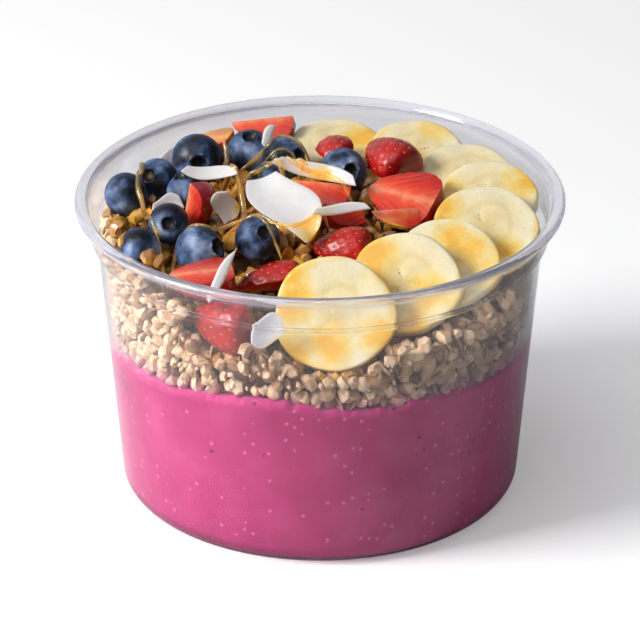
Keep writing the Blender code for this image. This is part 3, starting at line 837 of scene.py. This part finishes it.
surface_over(
    tree, threads, 0.3, 0.4,
    {"Base Color": colour, "Roughness": wet, "IOR": 1.38, "Coat Weight": 0.3, "Coat Roughness": 0.2,
     "Subsurface Weight": 0.2, "Subsurface Radius": (0.005, 0.0012, 0.0008), "Subsurface Scale": 0.5},
)

# Hard golden seeds, a little glossy.
strawberry_seed, tree = new_material("strawberry_seeds")
shader = add_node(tree, "BsdfPrincipled", {"Base Color": linear("#b8843a"), "Roughness": 0.35})
add_node(tree, "OutputMaterial", {"Surface": shader})


def berry_radius(height):
    """Radius share of the berry's outline at a height share."""
    for (low, r0), (high, r1) in zip(BERRY_OUTLINE[:-1], BERRY_OUTLINE[1:]):
        if low <= height <= high:
            return r0 + (r1 - r0) * (height - low) / max(1e-6, high - low)
    return 0.0


def smooth_between(a, b, c, d, t):
    """The point at share t of the way from b to c on a smooth line that comes from a and goes on to d."""
    return [
        0.5 * (2 * q + (r - p) * t + (2 * p - 5 * q + 4 * r - s) * t ** 2 + (3 * q - p - 3 * r + s) * t ** 3)
        for p, q, r, s in zip(a, b, c, d)
    ]


def whole_strawberry(size):
    """A hulled berry along Z, tip down, with pits. Returns it with the seeds' places and directions."""
    ends = (BERRY_OUTLINE[0],) + BERRY_OUTLINE[:-1] + (BERRY_OUTLINE[-2],)
    spans = zip(ends, ends[1:], ends[2:], ends[3:])
    outline = [smooth_between(*span, i / 6) for span in spans for i in range(6)]
    shoulder_height, shoulder_radius = BERRY_OUTLINE[-2]
    outline += [(shoulder_height, shoulder_radius * share) for share in (1, 0.8, 0.6, 0.4, 0.2, 0)]
    wide, long = STRAWBERRY_RADIUS, STRAWBERRY_LENGTH
    outline = [(max(0, radius) * wide * size, height * long * size) for height, radius in outline]
    bm = turned(outline, steps=72)
    bm.normal_update()
    tree = BVHTree.FromBMesh(bm)
    seeds = []
    for i in range(SEED_COUNT):
        height = -0.46 + 0.84 * (i + 0.5) / SEED_COUNT
        angle = i * SEED_TURN
        out = berry_radius(height) * STRAWBERRY_RADIUS * size
        aim = Vector((out * math.cos(angle), out * math.sin(angle), height * STRAWBERRY_LENGTH * size))
        point, normal, _, _ = tree.find_nearest(aim)
        seeds.append((point, normal))
    for vert in bm.verts:
        nearest = min((vert.co - point).length for point, _ in seeds)
        swell = 0.35 * smooth_step(nearest, 0.2, 1.3)
        vert.co += vert.normal * (swell - 0.33) * size * 1.2
    return bm, seeds


def cut_away(bm, point, normal):
    """Slices off what lies beyond a plane and closes the cut with a face of flesh."""
    everything = bm.verts[:] + bm.edges[:] + bm.faces[:]
    bmesh.ops.bisect_plane(bm, geom=everything, plane_co=point, plane_no=normal, clear_outer=True, dist=1e-5)
    made = bmesh.ops.holes_fill(bm, edges=[edge for edge in bm.edges if edge.is_boundary])
    for face in made["faces"]:
        face.material_index = 1


def cut_strawberry(cut, size):
    """A piece of berry with its skin towards -Y, its seeds, and cut edges that are a little soft."""
    bm, seeds = whole_strawberry(size)
    planes = []
    if cut == "half":
        planes = [((0, 0, 0), (0, 1, 0))]
    if cut in ("quarter", "chunk"):
        planes = [((0, 0, 0), (1, 1, 0)), ((0, 0, 0), (-1, 1, 0))]
    if cut == "chunk":
        planes.append(((0, 0, -0.14 * STRAWBERRY_LENGTH * size), (0, 0, -1)))
    for point, normal in planes:
        cut_away(bm, point, normal)
    bmesh.ops.recalc_face_normals(bm, faces=bm.faces)
    cut_edges = [e for e in bm.edges if len({face.material_index for face in e.link_faces}) == 2]
    soften(bm, cut_edges, width=0.25, segments=2)
    for point, normal in seeds:
        if all((point - Vector(at)).dot(Vector(away)) < -0.4 for at, away in planes):
            outwards = normal.to_track_quat("Z", "Y").to_matrix().to_4x4()
            place = Matrix.Translation(point - normal * SEED_DEPTH) @ outwards
            add_seed(bm, place @ Matrix.Diagonal((*SEED_HALVES, 1)), radius=1.0, material=2)
    return bm


for node, (cut, *turns, size) in STRAWBERRIES.items():
    materials = [strawberry_skin, strawberry_flesh, strawberry_seed]
    piece = lay_piece(f"cut_{node}", cut_strawberry(cut, size), materials, "strawberry", node, *turns)
    piece.data.set_sharp_from_angle(angle=math.radians(50))


# ---------------------------------------------------------------- blueberries
# Whole fresh berries. Each keeps its crown, five points round the sunk blossom end, and most of its bloom,
# the pale wax that turns the dark skin a dusty blue.

# Width, then where the crown looks: its tip from upright, and its turn from the front to the right.
BLUEBERRIES = (
    (10.8, 70, 60), (10.4, 55, -30), (12.8, 76, 8), (11.2, 20, 0), (11.2, 65, 55), (11.6, 65, 25),
    (9.8, 20, -90), (10.2, 40, -60), (10.4, 60, 100), (9.8, 65, 0), (12.2, 65, 60), (10.8, 50, 30),
)

# Waxed skin: nearly black where it was rubbed, dusty blue where the wax is whole. Wax scatters light, so it
# isn't glossy there.
blueberry_skin, tree = new_material("blueberry_skin")
place = add_node(tree, "TexCoord").outputs["Object"]
patches = add_node(
    tree, "TexNoise", {"Vector": place, "Scale": scale_for(6.67), "Detail": 5.0, "Roughness": 0.55}
)
bloom = add_node(
    tree, "ValToRGB", {"Fac": patches},
    [(0.36, "#0a0d16"), (0.46, "#243049"), (0.55, "#566e96"), (0.67, "#a8b9d4")],
)
rubbed = add_node(tree, "MapRange", {0: patches, 1: 0.35, 2: 0.60, 3: 0.25, 4: 0.62})
_, axes, off_axis = own_place(tree)
well = add_node(tree, "MapRange", {0: off_axis, 1: 2.3, 2: 1.5})
upper = add_node(tree, "Math", {0: axes[2], 1: 1.0}, operation="GREATER_THAN")
in_well = add_node(tree, "Math", {0: well, 1: upper}, operation="MULTIPLY")
skinned = add_node(tree, "Mix", {0: in_well, 6: bloom, 7: linear("#15151f")}, data_type="RGBA")
fine = add_node(tree, "TexNoise", {"Vector": place, "Scale": scale_for(0.625), "Detail": 2.0})
surface_over(tree, fine, 0.12, 0.2, {"Base Color": skinned, "Roughness": rubbed, "IOR": 1.38})


def whole_blueberry(width):
    """A slightly flat berry along Z with the five-pointed crown round its sunk blossom end."""
    lobes = 5
    radius = width / 2
    flat = 0.92
    crown = [(0, 0.76), (0.12, 0.75), (0.21, 0.79), (0.27, 0.92), (0.31, 1.01), (0.35, 0.99), (0.40, 0.93)]
    crown += [(0.45, 0.90)]
    body = [(math.sin(math.radians(a)), math.cos(math.radians(a))) for a in range(30, 180, 8)]
    bm = turned([(radius * r, radius * flat * z) for r, z in crown + body + [(0, -1)]], steps=50)
    for vert in bm.verts:
        share = vert.co.xy.length / radius
        if 0.22 < share < 0.39 and vert.co.z > 0:
            point = (0.5 + 0.5 * math.cos(lobes * math.atan2(vert.co.y, vert.co.x))) ** 1.5
            top = 1 - abs(share - 0.31) / 0.09
            vert.co.xy *= 1 + 0.20 * point * max(0, top)
            vert.co.z += (0.08 * point - 0.06) * radius * max(0, top)
    return bm


for number, (width, tip, spin) in enumerate(BLUEBERRIES, 1):
    node = f"blueberry_{number:02d}"
    bm = whole_blueberry(width)
    lay_piece(f"whole_{node}", bm, [blueberry_skin], "blueberry", node, tip, 0, spin)


# ---------------------------------------------------------------- coconut
# Chips pared from fresh coconut meat with a peeler and dried: white, waxy, thin at the edge and curled.
# They went on last, before the honey, so they lie at every tilt.

COCONUT_THICKNESS = 0.9
# Length, width, how far one end runs to a point, and bend, then turns about X, Y and Z.
COCONUT = {
    "coconut_big": (22, 12.5, 0.3, -30, 22, 22, -57),
    "coconut_round": (8, 6, 0, 40, 70, 80, 0),
    "coconut_small": (7.5, 5.5, 0, 30, 60, 0, 20),
    "coconut_strip_left": (13, 4, 0, 50, 30, 0, -10),
    "coconut_strip_middle": (21, 4, 0, 60, 60, 8, -22),
    "coconut_thin_right": (13, 2.6, 0, 30, 60, 0, 8),
    "coconut_thin_front": (13, 2.4, 1, 20, 40, -40, 50),
    "coconut_back_left": (8, 6, 0, 40, 70, 0, 30),
    "coconut_back": (6, 2.4, 0, 30, 40, -30, 60),
    "coconut_wall": (7.5, 8, 0, 30, 80, 0, 10),
}

# Dried coconut meat: white and oily, lit through where it is thin, and very faintly clouded along the chip.
coconut_meat, tree = new_material("coconut_meat")
own = add_node(tree, "Attribute", attribute_type="GEOMETRY", attribute_name="own").outputs["Vector"]
along = add_node(tree, "Mapping", {"Vector": own, "Scale": (1 / 2.78, 1 / 1.67, 1 / 1.67)})
grain = add_node(tree, "TexNoise", {"Vector": along, "Scale": 1.0, "Detail": 2.0})
white = add_node(
    tree, "ValToRGB", {"Fac": grain}, [(0.30, "#e2e1df"), (0.50, "#e6e5e3"), (0.70, "#eae9e7")]
)
colour, wet = honeyed_over(tree, white, 0.42)
surface_over(
    tree, grain, 0.03, 0.3,
    {"Base Color": colour, "Roughness": wet, "IOR": 1.45, "Subsurface Weight": 0.6,
     "Subsurface Radius": (0.004, 0.004, 0.0035), "Subsurface Scale": 0.6},
)


def coconut_chip(length, width, pointed, bend, number):
    """A pared chip: a thin strip bent along its length, one edge thinner and shorter than the other."""
    bm = bmesh.new()
    bmesh.ops.create_grid(bm, x_segments=28, y_segments=10, size=0.5)
    arc_radius = length / math.radians(bend)
    thin = {}
    for vert in bm.verts:
        along, across = vert.co.x, vert.co.y
        taper = 1 - (1.8 + 1.9 * pointed * (along > 0)) * along * along
        angle = along * math.radians(bend) * (1 - 0.2 * across)
        vert.co.x = arc_radius * math.sin(angle)
        vert.co.y = across * taper * width + 0.12 * width * math.sin(5 * along)
        vert.co.y += 0.02 * width * noise.noise(Vector((along * 3, number, across)))
        vert.co.z = arc_radius * (1 - math.cos(angle)) + 0.5 * across * across * width
        thin[vert] = 0.35 + 0.65 * (1 - (2 * abs(across)) ** 3)
    made = bmesh.ops.extrude_face_region(bm, geom=bm.faces[:])
    raised = [item for item in made["geom"] if isinstance(item, bmesh.types.BMVert)]
    for vert in raised:
        below = min(thin, key=lambda other: (other.co - vert.co).length_squared)
        vert.co.z += COCONUT_THICKNESS * thin[below]
    bmesh.ops.recalc_face_normals(bm, faces=bm.faces)
    round_edges(bm, sharper_than=50, width=0.12, segments=2)
    return bm


for number, (node, (length, width, pointed, bend, *turns)) in enumerate(COCONUT.items()):
    bm = coconut_chip(length, width, pointed, bend, number)
    lay_piece(f"chip_{node}", bm, [coconut_meat], "coconut", node, *turns)


# ---------------------------------------------------------------- honey
# Poured from a spoon last of all. Thin threads hang from berry to berry, and where it has run off it wets
# the fruit and stains it amber. It is clear, thick and very glossy.

# Each thread's radius, then its route over the fruit as x, y in mm, seen from above.
HONEY_THREADS = (
    (0.62, (-43.2, 17), (-42.9, 14.1), (-43.4, 8.5), (-43.5, 2.8), (-42.4, -1), (-41.6, -5)),
    (0.45, (-41.6, -5), (-40.0, -9.4), (-38.6, -13), (-37.8, -16.3), (-36.3, -21), (-35.1, -24.8),
     (-34.3, -26.2)),
    (0.48, (-35.3, -19.5), (-34.6, -15.5), (-33.0, -12.7), (-30.5, -14.5), (-27.5, -15.8), (-24.4, -15),
     (-21.5, -12.6), (-19.2, -12.8), (-17.2, -15.6)),
    (0.50, (-21.5, -8.5), (-18.6, -12.5), (-14.5, -13.8), (-11.6, -16.4), (-8.4, -17.8), (-4.7, -17.8),
     (-1.6, -16.2), (2.2, -14.2)),
    (0.36, (-16.5, -12.8), (-13.2, -17.2), (-10.6, -20), (-9, -22.5)),
    (0.70, (-23.5, 10.5), (-21.3, 6.5), (-19.4, 3.4), (-18.2, -1.2), (-18.1, -5.8), (-18.6, -11.5)),
    (0.50, (-20.5, 26.5), (-17.6, 27.2), (-14.8, 26.2), (-12.4, 25.2), (-10.2, 28.4), (-6.4, 28),
     (-3.9, 26.4), (-2.5, 23), (-3.4, 19), (-4.6, 13), (-4.2, 7.6)),
    (0.38, (-19.4, 23), (-15.8, 24.2), (-12.6, 22.4), (-9.2, 22.6), (-6.2, 21.8), (-4.2, 17)),
    (0.52, (-24.6, 39), (-23.2, 34), (-22.8, 28), (-22.6, 20), (-22.1, 13.2)),
    (0.50, (-22.1, 13.2), (-19.6, 10.6), (-15.6, 9.4), (-11.8, 9.2), (-9.2, 7.4), (-7.0, 0), (-6.4, -6)),
    (0.42, (-17.6, 15.4), (-13.4, 14.2), (-9.2, 13.2), (-5.6, 9.8), (-2.6, 8.2)),
    (0.52, (-8.6, 9.8), (-4.2, 7.5), (-0.4, 6.9), (2.2, 5.8), (5, 3.6), (8.2, 0.6)),
)
# A height above everything, and the height where nothing lies.
ABOVE_ALL = 95
BARE_HEIGHT = 60.0
# Where honey has soaked in: x, y, z and reach in mm.
HONEY_SPOTS = (
    (-26.5, 42, 71, 9), (-1.6, -19.5, 72.6, 7), (1.2, -15, 75, 4.5), (-18.6, -3, 73, 3.4),
    (-33.8, -1.6, 70, 3.4), (0.6, 6.4, 76, 5), (-5.4, 5, 74, 5), (11, 41.5, 70.5, 10), (5, 34, 70, 8),
    (29, 40, 71.5, 8), (20, 27, 69.5, 9), (50, 7, 73, 9), (31, 7, 71, 7), (29, -3.6, 73, 8),
    (27.6, -8.4, 71, 7), (43.6, -17, 67.6, 6.5), (41, -23, 66.5, 7), (31, -18.5, 71, 7),
    (35, -21.5, 69.8, 8), (39.6, -26, 66, 7), (12, -26, 71.6, 10), (9.6, -31, 68, 6), (26, -34, 65, 8),
    (31, -31, 64, 6), (-7.4, -35, 71, 8), (-6.6, -39.6, 66, 8), (2, -46, 58, 9), (14, -44, 59, 8),
    (21, -40, 60, 7), (17.5, -13.5, 73, 5), (-6.6, -46, 55.5, 9), (13, -33, 68, 7),
)

# Honey: a heavy sugar syrup, amber and a little cloudy, so threads look tan and gold over dark fruit.
clear_honey, tree = new_material("clear_honey")
syrup = add_node(
    tree, "BsdfPrincipled",
    {"Base Color": linear("#f6d488"), "Roughness": 0.06, "IOR": 1.49, "Transmission Weight": 0.82,
     "Subsurface Weight": 0.3, "Subsurface Radius": (0.003, 0.002, 0.0008), "Subsurface Scale": 0.4,
     "Coat Weight": 0.5, "Coat Roughness": 0.04},
)
clear_to_lamps(tree, syrup, "#f3cd86")

toppings = ("granola", "banana", "strawberry", "blueberry", "coconut")
topping_tree = tree_of(piece for piece in list(bpy.data.objects) if piece.get("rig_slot") in toppings)

# A coin is also amber where its neighbour lies on it: partly honey and juice that crept in between, partly
# painted shade between the two coins. On cut berries the honey stays thin enough for the red to show
# through.
coins = [bpy.data.objects[f"banana_coin_{number}"] for number in range(1, len(BANANA_SLICES) + 1)]
coin_trees = [tree_of([coin]) for coin in coins]
chips = [piece for piece in bpy.data.objects if piece.get("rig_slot") == "coconut"]
under_honey = ("back_left", "middle_back", "middle_right")
honeyed_cuts = [bpy.data.objects[f"cut_strawberry_{where}"] for where in under_honey]
for piece in coins + chips + honeyed_cuts:
    most = 0.55 if piece in honeyed_cuts else 1.0
    honey_and_shade_neighbours = []
    if piece in coins:
        number = coins.index(piece)
        honey_and_shade_neighbours = coin_trees[max(0, number - 1):number] + coin_trees[number + 1:number + 2]
    soaked = piece.data.attributes.new("soaked", "FLOAT", "POINT")
    for vert, item in zip(piece.data.vertices, soaked.data):
        place = vert.co * METRE
        amounts = [1.15 * (1 - (place - Vector(at)).length / reach) for *at, reach in HONEY_SPOTS]
        # Painted shade mixed with honey: amber where a neighbouring coin lies close.
        amounts += [0.8 - 0.4 * other.find_nearest(place)[3] for other in honey_and_shade_neighbours]
        item.value = min(most, max(0.0, *amounts))


def top_at(x, y):
    """Height of whatever lies highest at a place, seen from above."""
    found = topping_tree.ray_cast(Vector((x, y, ABOVE_ALL)), Vector((0, 0, -1)))[0]
    return found.z if found else BARE_HEIGHT


def smooth_route(points, step):
    """Points along a smooth line through the given ones, about a step apart."""
    ends = [points[0], *points, points[-1]]
    route = []
    for span in zip(ends, ends[1:], ends[2:], ends[3:]):
        count = max(2, int((Vector(span[2]) - Vector(span[1])).length / step))
        route += [Vector(smooth_between(*span, i / count)) for i in range(count)]
    return route + [Vector(points[-1])]


# Each thread starts as it lies on the fruit. Its points are then pulled level with their neighbours and sag
# a little, over and over, but never into the fruit, so it hangs free where it crosses a gap.
SAG = 0.012
PULLS = 120
threads = bpy.data.curves.new("honey_threads", "CURVE")
threads.dimensions = "3D"
threads.bevel_depth = 1.0
threads.bevel_resolution = 3
threads.use_fill_caps = True
for number, (thread_radius, *points) in enumerate(HONEY_THREADS):
    route = smooth_route(points, step=0.5)
    surface = [top_at(*place) for place in route]
    heights = list(surface)
    for _ in range(PULLS):
        hung = [0.5 * (before + after) - SAG for before, after in zip(heights, heights[2:])]
        heights[1:-1] = [max(low, held) for low, held in zip(surface[1:-1], hung)]
    spline = threads.splines.new("POLY")
    spline.points.add(len(route) - 1)
    for i, (point, place, height) in enumerate(zip(spline.points, route, heights)):
        end = min(1.0, (i + 1) / 4, (len(route) - i) / 4)
        point.co = (place.x, place.y, height + 0.25 * thread_radius, 1)
        point.radius = thread_radius * end * (1 + 0.5 * noise.noise(Vector((i * 0.12, number * 5, 0))))
curve_piece = bpy.data.objects.new("honey_route", threads)
bpy.context.scene.collection.objects.link(curve_piece)
bpy.context.view_layer.update()
bm = bmesh.new()
bm.from_mesh(curve_piece.to_mesh())
curve_piece.to_mesh_clear()
bpy.data.objects.remove(curve_piece)
bpy.data.curves.remove(threads)
bmesh.ops.recalc_face_normals(bm, faces=bm.faces)
add_piece("honey_threads", bm, [clear_honey], "granola")
